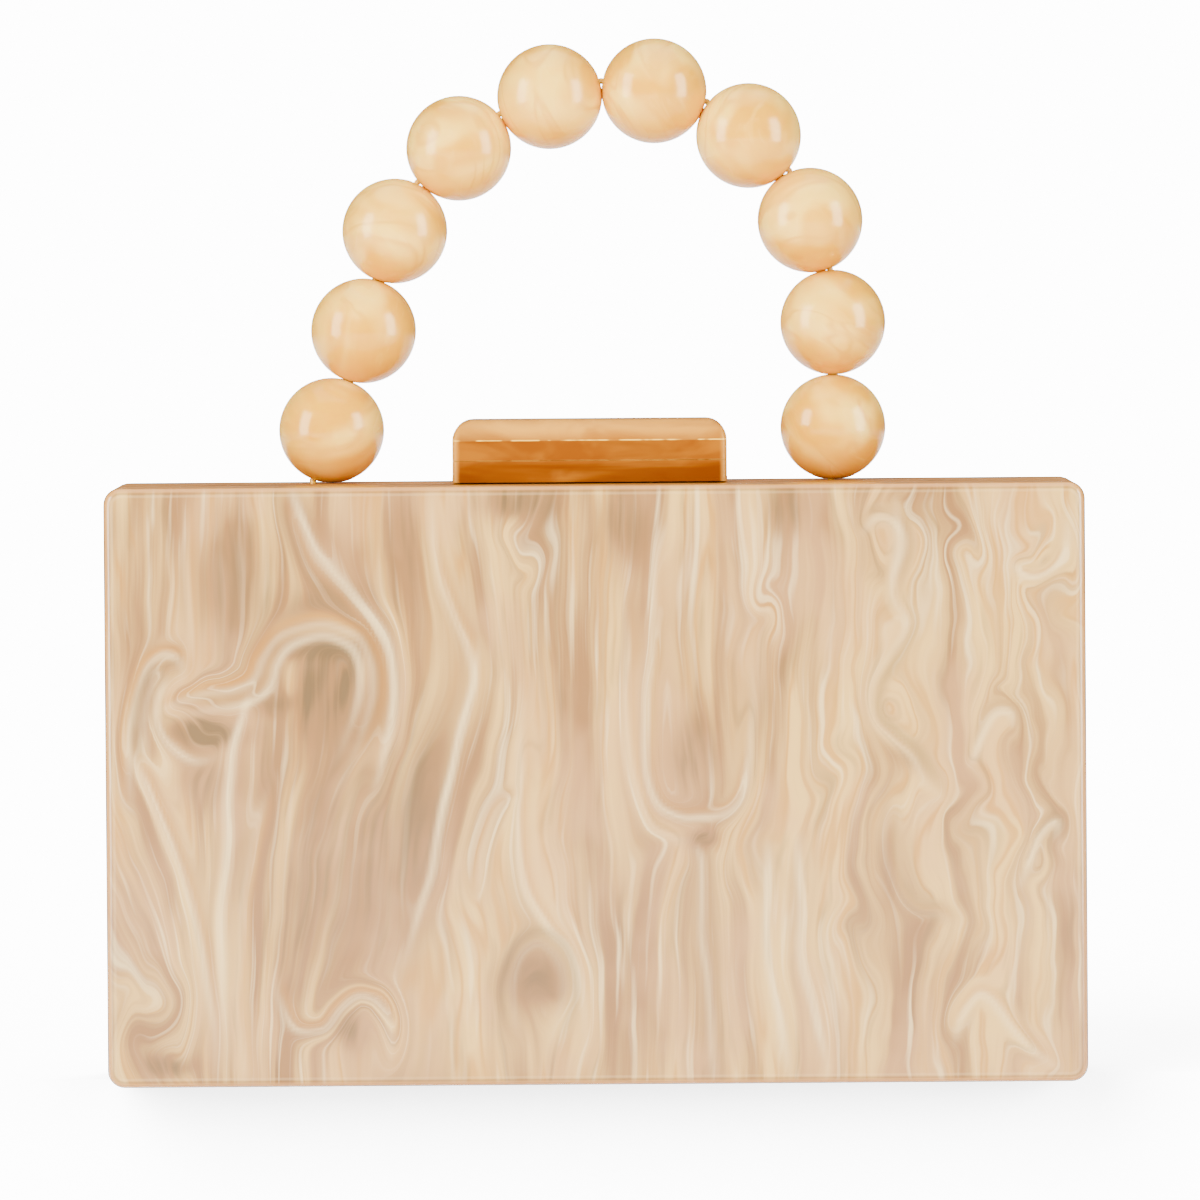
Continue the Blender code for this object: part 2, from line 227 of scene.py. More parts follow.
def from_node(node, name):
    """A copy of a CAD node's mesh with its loose triangles merged into clean faces"""
    piece = bpy.data.objects.new(name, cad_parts[node].data.copy())
    piece.data.name = name
    link(piece)
    piece.data.materials.clear()
    edit(piece)
    bpy.ops.mesh.remove_doubles(threshold=0.01 * MM)
    bpy.ops.mesh.customdata_custom_splitnormals_clear()
    bpy.ops.mesh.dissolve_limited(angle_limit=math.radians(1))
    bpy.ops.mesh.normals_make_consistent(inside=False)
    done()
    return piece


def hand_over(piece, body, slot, material, *nodes):
    """Gives a finished piece its finish and its body, and hides the CAD nodes that it stands for"""
    piece.data.materials.clear()
    piece.data.materials.append(material)
    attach(piece, body)
    if nodes:
        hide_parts(*nodes)


class Finish:
    """A material and short names for the nodes that it is made of"""

    def __init__(self, name):
        self.material = bpy.data.materials.new(name)
        self.material.use_nodes = True
        self.tree = self.material.node_tree
        self.tree.nodes.clear()
        self.shader = self.node("ShaderNodeBsdfPrincipled")
        output = self.node("ShaderNodeOutputMaterial")
        self.tree.links.new(self.shader.outputs["BSDF"], output.inputs["Surface"])

    def node(self, kind, **settings):
        node = self.tree.nodes.new(kind)
        for key, value in settings.items():
            setattr(node, key, value)
        return node

    def feed(self, socket, value):
        """Links a socket to another, or sets its own value"""
        if isinstance(value, bpy.types.NodeSocket):
            self.tree.links.new(value, socket)
        else:
            socket.default_value = value

    def place(self):
        return self.node("ShaderNodeTexCoord").outputs["Object"]

    def attribute(self, name, output="Vector"):
        return self.node("ShaderNodeAttribute", attribute_name=name).outputs[output]

    def noise(self, vector, scale, shift=(0, 0, 0), detail=2.0, roughness=0.5, swirl=0.0):
        """Soft noise, scaled and shifted along each axis"""
        grain = self.node("ShaderNodeTexNoise")
        spread = self.node("ShaderNodeVectorMath", operation="MULTIPLY_ADD")
        self.feed(spread.inputs[0], vector)
        spread.inputs[1].default_value = scale
        spread.inputs[2].default_value = shift
        self.feed(grain.inputs["Vector"], spread.outputs["Vector"])
        for name, value in (
            ("Scale", 1.0), ("Detail", detail), ("Roughness", roughness), ("Distortion", swirl)
        ):
            grain.inputs[name].default_value = value
        return grain.outputs["Fac"]

    def math(self, operation, a, b=0.0, c=0.0):
        node = self.node("ShaderNodeMath", operation=operation)
        for socket, value in zip(node.inputs, (a, b, c)):
            self.feed(socket, value)
        return node.outputs["Value"]

    def times(self, a, b):
        return self.math("MULTIPLY", a, b)

    def part(self, vector, axis):
        """One axis of a vector"""
        node = self.node("ShaderNodeSeparateXYZ")
        self.feed(node.inputs[0], vector)
        return node.outputs[axis]

    def span(self, value, low, high, to_low=0.0, to_high=1.0):
        """The value carried smoothly from one range to another"""
        node = self.node("ShaderNodeMapRange", interpolation_type="SMOOTHSTEP")
        self.feed(node.inputs["Value"], value)
        for name, end in (
            ("From Min", low), ("From Max", high), ("To Min", to_low), ("To Max", to_high)
        ):
            node.inputs[name].default_value = end
        return node.outputs["Result"]

    def hushed(self, grain, still):
        """The grain, led back to its middle value where the marble is still"""
        away = self.math("SUBTRACT", grain, 0.5)
        return self.math("MULTIPLY_ADD", away, self.math("SUBTRACT", 1.0, still), 0.5)

    def ridge(self, value, centre, width):
        """One where the value is at the centre, none beyond the width"""
        away = self.math("ABSOLUTE", self.math("SUBTRACT", value, centre))
        return self.span(away, 0.0, width, 1.0, 0.0)

    def mix(self, ground, *layers):
        """The ground under layers of colour, each with the share of it that it covers"""
        for tone, share in layers:
            node = self.node("ShaderNodeMix", data_type="RGBA")
            for index, value in ((0, share), (6, ground), (7, tone)):
                self.feed(node.inputs[index], value)
            ground = node.outputs[2]
        return ground

    def bump(self, height, strength, distance):
        """Fine unevenness of the surface"""
        node = self.node("ShaderNodeBump")
        self.feed(node.inputs["Height"], height)
        node.inputs["Strength"].default_value = strength
        node.inputs["Distance"].default_value = distance
        self.tree.links.new(node.outputs["Normal"], self.shader.inputs["Normal"])

    def surface(self, **values):
        """Feeds the shader's sockets, named with _ for a space"""
        for name, value in values.items():
            self.feed(self.shader.inputs[name.replace("_", " ")], value)


def marble_finish(name, colours):
    """Cast marbled acrylic: streaks that follow the flow kept on the slab's vertices"""
    finish = Finish(name)
    span, times = finish.span, finish.times
    flow = finish.attribute("flow")
    tint = finish.attribute("tint")
    shade, edge, still = (finish.attribute(key, "Fac") for key in ("shade", "edge", "still"))

    def streaks(width, length, shift=(0, 0, 0), detail=2.0):
        """Noise in streaks about so many millimetres wide and long"""
        return finish.noise(flow, (1 / width, 1 / length, 1), shift, detail)

    broad = streaks(9, 80, detail=1.0)
    middle = finish.hushed(streaks(3.6, 52, (7.3, 2.1, 0), 1.5), still)
    fine = finish.hushed(streaks(1.4, 34, (3.9, 5.7, 0)), still)
    hair = finish.hushed(streaks(0.5, 22, (9.1, 8.3, 0)), still)
    cloud = streaks(14, 30, (1.7, 6.4, 5))
    smoke = streaks(2.6, 26, (4.4, 3.3, 9))
    white = streaks(1.9, 38, (6.1, 1.9, 3))

    # The ground runs from tan to cream along a blend of four grains, darker in the patches
    blend = times(middle, 0.31)
    for grain, share in ((broad, 0.50), (fine, 0.13), (hair, 0.06), (shade, -0.20)):
        blend = finish.math("MULTIPLY_ADD", grain, share, blend)

    # Amber lines and white wisps keep off the patches, and the lines off the veins too
    calm = span(shade, 0.05, 0.40, 1.0, 0.3)
    lines = times(finish.ridge(middle, 0.5, 0.07), span(broad, 0.42, 0.6, 0.0, 0.6))
    lines = times(times(lines, calm), span(still, 0.0, 0.6, 1.0, 0.0))
    wisps = times(span(white, 0.54, 0.74, 0, 0.6), calm)

    # The patches are broken up by the fine grain and the smoke
    streaky = times(shade, span(fine, 0.30, 0.68, 0.5, 1.15))
    streaky = times(streaky, span(smoke, 0.32, 0.64, 0.75, 1.1))
    grain = span(fine, 0.35, 0.65, 0.45, 1.0)
    ground = finish.mix(
        colours.marble_tan,
        (colours.marble_cream, span(blend, 0.395, 0.605)),
        (colours.marble_rose, span(cloud, 0.44, 0.64, 0, 0.45)),
        (colours.marble_amber, lines),
        (colours.marble_olive, span(smoke, 0.54, 0.74, 0, 0.35)),
        (colours.marble_white, wisps),
        (colours.marble_olive, span(streaky, 0.08, 1.0, 0, 0.9)),
        # The veins' own colours
        (colours.marble_amber, times(finish.part(tint, "X"), grain)),
        (colours.marble_white, times(finish.part(tint, "Y"), grain)),
        (colours.marble_olive, times(finish.part(tint, "Z"), grain)),
        # The rim, by millimetres from the edge: tinted, with a painted dark reflection line and a
        # painted highlight line inside it
        (colours.slab_rim, span(edge, 0.8, 1.5, 0.75, 0.0)),
        (colours.shell_peach, span(edge, 0.1, 0.6, 0.85, 0.0)),
        (colours.marble_olive, times(finish.ridge(edge, 1.3, 0.25), 0.35)),
        (colours.marble_white, times(finish.ridge(edge, 1.65, 0.3), 0.15)),
    )
    finish.surface(
        Base_Color=ground,
        Roughness=span(fine, 0.3, 0.7, 0.16, 0.24),
        Coat_Weight=0.3,
        Coat_Roughness=0.06,
        IOR=1.49,
    )
    finish.bump(streaks(6, 30, detail=1.0), 0.05, 0.3 * MM)
    return finish.material


def shell_finish(name, colours):
    """Tinted acrylic of the shells, with long soft swirls"""
    finish = Finish(name)
    place = finish.place()
    swirl = finish.noise(place, (22, 60, 36), detail=3.0, roughness=0.55, swirl=1.4)
    fine = finish.noise(place, (60, 240, 120), (2, 3, 1), detail=3.0, swirl=0.8)
    finish.surface(
        Base_Color=finish.mix(
            colours.shell_peach,
            (colours.shell_deep, finish.span(swirl, 0.44, 0.66, 0, 0.75)),
            (colours.marble_rose, finish.span(fine, 0.54, 0.74, 0, 0.55)),
            (colours.marble_amber, finish.times(finish.ridge(swirl, 0.5, 0.03), 0.5)),
        ),
        Roughness=finish.span(fine, 0.3, 0.7, 0.26, 0.36),
        IOR=1.3,
    )
    finish.bump(swirl, 0.04, 0.3 * MM)
    return finish.material


def clasp_finish(name, colours, line, parting):
    """Deep amber acrylic, rustier towards the box, with painted light over the line where its top
    rounds and on its ends, and painted highlights along two edges
    """
    finish = Finish(name)
    span, times = finish.span, finish.times
    place = finish.place()
    height, along = finish.part(place, "Z"), finish.part(place, "X")
    low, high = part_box("clasp_bar")
    streaks = finish.noise(place, (22, 60, 190), (0, 0, 3), detail=3.0, swirl=0.7)
    clouds = finish.noise(place, (60, 60, 110), (5, 1, 2), detail=3.0, swirl=0.8)
    dashes = finish.noise(place, (190, 0, 0), (2, 5, 8))
    depth = finish.math("ADD", streaks, span(height, low.z, line, 0.16, -0.14))
    golden = times(span(clouds, 0.40, 0.66), span(depth, 0.38, 0.68, 0.9, 0.1))
    # the colour of the painted light on the rounded top
    painted_lit_top = finish.mix(
        colours.clasp_painted_light,
        (colours.shell_peach, span(clouds, 0.40, 0.62)),
        (colours.clasp_amber, span(streaks, 0.5, 0.68, 0, 0.35)),
        (colours.clasp_gold, span(along, low.x, high.x, 0, 0.3)),
    )

    # Painted light: the top is a step paler at the line and rises slowly from there, as if lit from
    # above, and the ends are paler too.
    # Painted highlights: pale broken dashes along two edges, the top's line and the parting line.
    step = span(height, line - 0.2 * MM, line + 0.3 * MM, 0.0, 0.5)
    rise = span(height, line, line + 2.2 * MM, 0.0, 0.44)
    away = finish.math("ABSOLUTE", finish.math("SUBTRACT", along, (low.x + high.x) / 2))
    half = (high.x - low.x) / 2
    # painted highlights: pale broken lines along the top's line and the parting line
    painted_highlights = [
        times(finish.ridge(height, level, 0.2 * MM), span(dashes, 0.44, 0.54, 0.08, share))
        for level, share in ((line, 0.9), (parting, 0.2))
    ]
    finish.surface(
        Base_Color=finish.mix(
            colours.clasp_amber,
            (colours.clasp_rust, span(depth, 0.40, 0.70)),
            (colours.clasp_gold, golden),
            (painted_lit_top, finish.math("ADD", step, rise)),
            # painted light on the ends
            (colours.clasp_painted_light, span(away, half - 1.6 * MM, half - 0.4 * MM, 0.0, 0.55)),
            (colours.bead_pearl, painted_highlights[0]),
            (colours.bead_pearl, painted_highlights[1]),
        ),
        Roughness=span(clouds, 0.3, 0.7, 0.12, 0.2),
        Specular_IOR_Level=0.2,
        Specular_Tint=(1.0, 0.72, 0.35, 1.0),
        IOR=1.45,
    )
    return finish.material


def bead_finish(name, colours):
    """Pearly translucent beads: soft clouds, a few bands and wisps, and a warmer underside that is
    painted shade
    """
    finish = Finish(name)
    grain = finish.attribute("grain")
    painted_underside_shade = finish.attribute("painted_underside_shade", "Fac")
    clouds = finish.noise(grain, (75, 75, 110), detail=1.0, swirl=0.8)
    bands = finish.noise(grain, (55, 55, 150), (3, 1, 2), detail=1.0, swirl=0.8)
    wisps = finish.noise(grain, (120, 120, 420), (8, 4, 6), detail=3.0, swirl=0.7)
    veins = finish.times(
        finish.ridge(bands, 0.48, 0.07), finish.span(clouds, 0.4, 0.6, 0.1, 0.45)
    )
    finish.surface(
        Base_Color=finish.mix(
            colours.bead_peach,
            (colours.bead_pearl, finish.span(clouds, 0.34, 0.66)),
            (colours.bead_amber, veins),
            (colours.bead_pearl, finish.span(wisps, 0.54, 0.74, 0, 0.35)),
            # painted shade: warmer underneath
            (colours.bead_amber, finish.times(painted_underside_shade, 0.85)),
        ),
        Roughness=finish.span(clouds, 0.3, 0.7, 0.20, 0.28),
        Specular_Tint=(1.0, 0.86, 0.60, 1.0),
        Coat_Weight=0.4,
        Coat_Roughness=0.16,
        IOR=1.45,
        Subsurface_Weight=0.5,
        Subsurface_Radius=(1.0, 0.55, 0.25),
        Subsurface_Scale=6 * MM,
    )
    return finish.material


def wire_finish(name, colours):
    """Wire painted honey gold, faintly mottled, as a painted reflection of the beads where it meets
    the box
    """
    finish = Finish(name)
    mottle = finish.noise(finish.place(), (400, 400, 400))
    finish.surface(
        Base_Color=finish.mix(
            colours.bead_peach, (colours.bead_amber, finish.span(mottle, 0.4, 0.6))),
        Roughness=finish.span(mottle, 0.3, 0.7, 0.25, 0.4),
    )
    return finish.material


def metal_finish(name, tone, dark):
    """Brushed metal with darker patches"""
    finish = Finish(name)
    place = finish.place()
    brushed = finish.noise(place, (900, 3200, 3200), detail=3.0, roughness=0.6)
    patches = finish.noise(place, (160, 160, 160), detail=3.0)
    finish.surface(
        Base_Color=finish.mix(tone, (dark, finish.span(patches, 0.45, 0.7, 0, 0.35))),
        Metallic=1.0,
        Roughness=finish.span(brushed, 0.3, 0.7, 0.22, 0.38),
    )
    finish.bump(brushed, 0.08, 0.05 * MM)
    return finish.material


# The marble's flow. Places in its tables are millimetres on the slab, seen from the front: x from
# its middle, z from the ground.

# x, z, half width, half height, push to the right
FRONT_BENDS = (
    (-42, 60, 12, 22, -3.0),
    (-20, 74, 12, 22, 3.5),
    (-30, 42, 12, 18, -5.0),
    (-12, 46, 8, 14, -3.0),
    (-4, 20, 8, 14, 4.0),
    (56, 74, 9, 12, -4.0),
    (62, 60, 10, 10, 4.0),
    (57, 44, 8, 14, -3.5),
    (66, 30, 9, 12, 4.0),
    (30, 86, 7, 14, 2.0),
    (47, 88, 8, 12, 2.5),
    (80, 45, 7, 14, 3.0),
    (86, 80, 6, 16, -3.0),
    (40, 20, 9, 24, -3.0),
    (22, 44, 8, 14, 1.5),
)
# x, z, half width, half height, share of the width kept where streams run together
FRONT_PINCHES = (
    (-70, 2, 26, 44, 0.42),
    (20, 44, 9, 8, 0.45),
)
# x, z, radius, degrees turned
FRONT_EDDIES = (
    (-75, 68, 6, -60),
    (58, 106, 5, -130),
    (60, 67, 5, 80),
    (78, 70, 4, -120),
    (82, 40, 5, 80),
    (88, 98, 6, 110),
    (-11, 20, 6, 90),
    (20, 46, 3, 60),
    (-85, 9, 7, 120),
    (33, 92, 4, -90),
    (70, 100, 5, 60),
    (45, 60, 5, -50),
    (72, 55, 5, 70),
    (86, 55, 4, -90),
    (50, 30, 5, 50),
    (-13, 104, 4, -90),
)
# Half width, amber on its left, white on its right, olive further left, points of the vein. Left
# and right are those of somebody who walks along the points.
FRONT_VEINS = {
    "great_cap": (1.9, 0.9, 0.4, 0.0,
     ((-88, 70), (-84, 72.8), (-80.5, 74.3), (-74.5, 76.2), (-68.8, 77), (-65.8, 78.8),
      (-64.4, 82.4), (-61.6, 86), (-56.7, 88.8), (-51.7, 89.4), (-46.8, 88.0), (-43.7, 85.0),
      (-42, 80.3), (-42, 75.4), (-43.2, 70.4), (-45, 65), (-48.5, 58), (-52, 50))),
    "cap_lining": (1.5, 0.1, 0.7, 0.0,
     ((-81, 71), (-76, 72.6), (-70, 73.6), (-65, 74.8), (-62.6, 77.5), (-61.6, 81),
      (-59.6, 84), (-56.5, 86.2), (-52, 87), (-47.3, 85.6), (-44.8, 82), (-44.4, 77),
      (-45.6, 71), (-48.2, 65), (-52, 58))),
    "left_curl": (1.6, 0.8, 0.5, 0.0,
     ((-88.5, 50), (-90, 60), (-89.6, 69.5), (-88.2, 76.8), (-86.2, 81.4), (-83.2, 83.8),
      (-79.8, 83), (-78.3, 79.8), (-79.8, 75.5))),
    "curl_core": (1.2, 0.0, 0.3, 0.6,
     ((-86, 60), (-87, 68), (-86.6, 74), (-84.6, 79), (-82.6, 81))),
    "inner_curl": (1.5, 0.1, 0.6, 0.0,
     ((-80.5, 80), (-83, 75.5), (-83.6, 70.5), (-81.5, 66), (-77, 63.5), (-72, 63.8))),
    "long_white": (2.1, 0.35, 0.9, 0.45,
     ((-46, 50), (-42.5, 60), (-40.2, 70), (-39.4, 77.5), (-40, 83), (-42.4, 88.4),
      (-46.8, 93.6), (-51.7, 99.4), (-55.8, 106), (-58, 112), (-59, 117), (-60, 124))),
    "left_fall": (1.6, 0.6, 0.6, 0.0,
     ((-90, 68), (-87, 61), (-84.2, 55), (-80.8, 46), (-77.5, 36), (-75, 24), (-73, 10),
      (-72, -3))),
    "pale_fall": (2.2, 0.0, 0.9, 0.0,
     ((-64, 78), (-66.5, 71.7), (-68.6, 65), (-69.6, 56), (-70, 44), (-71.5, 30), (-71, 14),
      (-70, -3))),
    "amber_fall": (1.3, 0.6, 0.2, 0.0,
     ((-61, 62), (-65, 48), (-67.5, 34), (-68.5, 18), (-67.5, 6), (-66.5, -3))),
    "orange_string": (1.0, 0.6, 0.2, 0.0,
     ((-78.5, 117), (-77.8, 104), (-77.4, 92), (-77.2, 82), (-79, 76))),
    "centre_edge": (1.3, 0.6, 0.5, 0.0,
     ((-31, 117), (-30, 104), (-28, 94), (-24.5, 85), (-22.8, 78), (-23.6, 72))),
    "centre_fall": (1.9, 0.1, 0.9, 0.0,
     ((-22, 88), (-22.4, 80), (-24, 72), (-26.4, 63), (-28.3, 54.4), (-30, 45.7), (-32, 37),
      (-35, 28), (-38, 18))),
    "knot_fall": (1.7, 0.6, 0.6, 0.0,
     ((-13, 80), (-14, 62), (-14.5, 47), (-13, 37), (-9, 30.5), (-4.5, 25), (-2, 15),
      (-1.5, -3))),
    "amber_hook": (1.3, 0.8, 0.3, 0.2,
     ((-23, 34), (-22.8, 43), (-20.5, 51), (-17.5, 55.5), (-14.5, 55))),
    "u_loop": (1.5, 0.5, 0.7, 0.0,
     ((12.5, 117), (12, 95), (10.4, 75), (10, 61), (11.8, 54.6), (16, 52), (22, 51.6),
      (26.5, 54), (28.5, 61), (29.5, 74), (31, 92))),
    "u_left": (1.4, 0.5, 0.4, 0.0,
     ((6, 100), (6.5, 84), (6.5, 70), (7.5, 58), (10.5, 50.5), (15, 47.8), (19.5, 47))),
    "u_stem": (1.3, 0.2, 0.6, 0.2,
     ((18, 47), (20.5, 43), (20.5, 34), (21.5, 22), (22.5, 8), (23, -3))),
    "small_cap": (1.6, 0.8, 0.5, 0.0,
     ((-62, 26), (-60.5, 17), (-58, 11.5), (-53, 11.5), (-49.5, 15.5), (-46, 18), (-42, 17.2),
      (-39.6, 13), (-39.2, 7), (-40, 0))),
    "right_bend": (1.2, 0.1, 0.3, 0.6,
     ((63, 92), (58, 84), (54, 77), (53.5, 71), (57, 66.5), (61, 63), (64, 57), (69, 53))),
    "right_hook": (1.2, 0.5, 0.2, 0.4,
     ((57.5, 57), (56, 48), (57, 39), (60.5, 33.5), (65.5, 32.5), (71, 30))),
    "right_cap": (1.5, 0.6, 0.7, 0.0,
     ((67.5, 6), (69, 12.5), (72.5, 17), (76, 16), (79.5, 11), (85, 5.5), (91, 1))),
    "upper_curl": (1.2, 0.1, 0.5, 0.3,
     ((50, 104), (53.5, 108.5), (57, 108.5), (59.5, 104.5), (58.5, 99), (56.5, 94))),
    "far_curl": (1.3, 0.1, 0.6, 0.1,
     ((79, 101), (83, 97.5), (87, 98), (90, 102.5), (91, 112))),
    "knot_ring": (1.7, 0.0, 0.2, 0.65,
     ((-15, 6), (-16.5, 13), (-16.8, 20), (-14.5, 26), (-10.5, 27.5), (-7, 24), (-6, 17),
      (-8, 10), (-9, 3))),
    "pair_left": (1.5, 0.1, 0.9, 0.0,
     ((33, 48), (33.5, 38), (33, 26), (35.5, 12), (38, -3))),
    "pair_right": (1.4, 0.2, 0.9, 0.0,
     ((38.5, 50), (39.5, 38), (39.5, 26), (42.5, 12), (45.5, -3))),
    "right_strand": (1.1, 0.1, 0.5, 0.3,
     ((58, 114), (58.5, 104), (57.5, 94), (60, 88), (57, 80))),
    "small_hook": (1.0, 0.1, 0.8, 0.2,
     ((71, 60), (73.5, 66), (76, 70.5), (79.5, 71), (80.5, 67))),
    "rim_wisp": (1.3, 0.0, 0.7, 0.0,
     ((80, 36), (83, 44), (85, 48), (88.5, 50), (89, 44))),
}
# x, z, half width, half height, lean of the patch in degrees, depth of the shade
FRONT_SHADES = (
    (-52, 84, 7.5, 2.0, 0, 0.75),
    (-52.5, 77, 8, 7.5, 0, 0.55),
    (-54.5, 76, 1.5, 6, -15, 0.65),
    (-48, 77, 1.4, 6, -20, 0.55),
    (-58.6, 78, 1.5, 6, 8, -0.40),
    (-51, 77, 1.1, 5, -15, -0.30),
    (-61, 73.5, 4, 1.8, 15, 0.45),
    (-75.5, 68.3, 5, 2.6, 0, 1.2),
    (-70, 67.5, 4, 2.0, 0, 0.45),
    (-75, 59, 6, 6, 0, 0.45),
    (-86.5, 73, 1.2, 8, -10, 0.40),
    (-91, 108, 4, 8, 0, 0.35),
    (-15, 112, 7, 4, 0, 0.95),
    (6, 108, 4, 8, 0, 0.80),
    (37, 110, 5, 6, 0, 0.60),
    (18.5, 63, 4.5, 9, 0, 0.65),
    (20, 47, 3, 1.6, 0, 0.80),
    (32, 76, 1.6, 16, 0, 0.50),
    (-34, 58, 5, 26, -12, 0.35),
    (-50, 42, 12, 26, -12, 0.38),
    (-69, 98, 12, 14, 0, 0.40),
    (-52, 93, 9, 3.5, 10, 0.30),
    (-40, 100, 8, 10, 0, 0.20),
    (-12, 20, 5.5, 6, 0, 0.62),
    (-83, 4, 5, 2.4, 0, 0.75),
    (-88, 12, 5, 6, 0, 0.35),
    (-47, 10.5, 3, 3, 0, 0.70),
    (-5, 70, 3, 20, 0, 0.25),
    (56, 44, 1.6, 9, 0, 0.50),
    (60, 62, 5, 2.2, -40, 0.45),
    (88, 92, 4, 6, 0, 0.30),
    (46, 78, 4, 14, 0, 0.20),
    (-55, 55, 40, 60, 0, 0.16),
    (-18.5, 86, 3.4, 24, 0, -0.55),
    (-84, 98, 3.5, 14, 0, -0.30),
    (-84, 22, 8, 14, 0, -0.20),
    (-24, 8, 14, 9, 0, -0.25),
    (36, 22, 5, 18, 0, -0.45),
    (66, 88, 18, 18, 0, -0.25),
    (84, 30, 8, 20, 0, -0.30),
    (45, 62, 6, 30, 0, -0.20),
)

BACK_BENDS = (
    (-60, 80, 16, 20, 6.0),
    (-30, 40, 14, 22, -5.0),
    (0, 78, 12, 26, 4.0),
    (28, 30, 14, 18, -4.0),
    (58, 84, 12, 20, 5.0),
    (74, 36, 10, 18, -4.0),
)
BACK_PINCHES = (
    (40, 6, 26, 36, 0.50),
    (-72, 108, 14, 16, 0.60),
)
BACK_EDDIES = (
    (-70, 40, 8, 110),
    (-20, 88, 6, -90),
    (16, 62, 7, 120),
    (46, 96, 5, -100),
    (66, 62, 6, 90),
    (84, 20, 6, -110),
)
BACK_VEINS = {
    "back_cap": (2.3, 0.7, 0.2, 0.0,
     ((30, 34), (32, 44), (38, 51), (46, 53), (54, 49), (57, 41), (54, 30), (50, 18))),
    "back_white": (1.8, 0.1, 0.8, 0.0,
     ((-22, 116), (-20, 98), (-14, 84), (-12, 68), (-17, 50), (-23, 34), (-25, 14), (-24, -3))),
    "back_fall": (2.0, 0.4, 0.4, 0.0,
     ((-62, 116), (-60, 96), (-52, 80), (-49, 62), (-55, 44), (-60, 26), (-58, -3))),
    "back_curl": (1.7, 0.5, 0.3, 0.0,
     ((-84, 30), (-85, 42), (-81, 50), (-75, 51), (-71, 45), (-72, 37))),
    "back_strand": (1.6, 0.1, 0.6, 0.1,
     ((10, 116), (13, 96), (10, 78), (14, 62), (20, 50), (19, 30), (22, -3))),
    "back_hook": (1.5, 0.4, 0.2, 0.2,
     ((74, 96), (72, 84), (75, 74), (81, 71), (85, 76), (84, 86))),
    "back_pair": (1.5, 0.0, 0.6, 0.0,
     ((66, 50), (68, 36), (66, 22), (70, 8), (72, -3))),
}
BACK_SHADES = (
    (44, 44, 7, 7, 0, 0.45),
    (-76, 44, 5, 4, 0, 0.45),
    (-36, 100, 8, 10, 0, 0.30),
    (4, 40, 6, 16, 0, 0.30),
    (78, 80, 4, 5, 0, 0.30),
    (-8, 12, 12, 10, 0, 0.20),
)


def ease(low, high, values):
    """Nought up to the low value, one from the high value on, and smooth in between"""
    share = np.clip((values - low) / (high - low), 0, 1)
    return share * share * (3 - 2 * share)


def hill(across, along):
    """One at the centre and fading with distance, in units of the hill's half sizes"""
    return np.exp(-across ** 2 - along ** 2)


def turned(dx, dz, angle):
    """The offsets turned by an angle in radians"""
    return (dx * np.cos(angle) - dz * np.sin(angle), dx * np.sin(angle) + dz * np.cos(angle))


def drift(x, z, size):
    """A smooth random push for each place, varying over about the size"""
    return np.array([
        noise.noise_vector(Vector((u / size, v / (2 * size), size)))[:2] for u, v in zip(x, z)
    ]).T


def curve_through(points, steps=6):
    """A smooth line through the points"""
    p = np.array(points, float)
    p = np.vstack([2 * p[0] - p[1], p, 2 * p[-1] - p[-2]])
    line = []
    for i in range(1, len(p) - 2):
        for t in np.arange(steps) / steps:
            line.append(0.5 * (
                2 * p[i] + (p[i + 1] - p[i - 1]) * t
                + (2 * p[i - 1] - 5 * p[i] + 4 * p[i + 1] - p[i + 2]) * t ** 2
                + (3 * p[i] - p[i - 1] - 3 * p[i + 1] + p[i + 2]) * t ** 3))
    line.append(p[-2])
    return np.array(line)


def beside(x, z, points, reach):
    """For each place: its distance from the line, the side it lies on, and how far along"""
    line = curve_through(points)
    distance = np.full(x.shape, 1e6)
    side = np.ones(x.shape)
    along = np.zeros(x.shape)
    count = len(line) - 1
    search = reach + 4  # a stretch of the line is shorter than 8 mm, so its ends are within 4
    for i, (start, end) in enumerate(zip(line[:-1], line[1:])):
        middle, run = (start + end) / 2, end - start
        near = (np.abs(x - middle[0]) < search) & (np.abs(z - middle[1]) < search)
        if not near.any():
            continue
        dx, dz = x[near] - start[0], z[near] - start[1]
        share = np.clip((dx * run[0] + dz * run[1]) / (run @ run), 0, 1)
        off = np.hypot(dx - share * run[0], dz - share * run[1])
        closer = off < distance[near]
        where = np.flatnonzero(near)[closer]
        distance[where] = off[closer]
        side[where] = np.sign(run[0] * dz - run[1] * dx)[closer]
        along[where] = ((i + share) / count)[closer]
    return distance, side, along


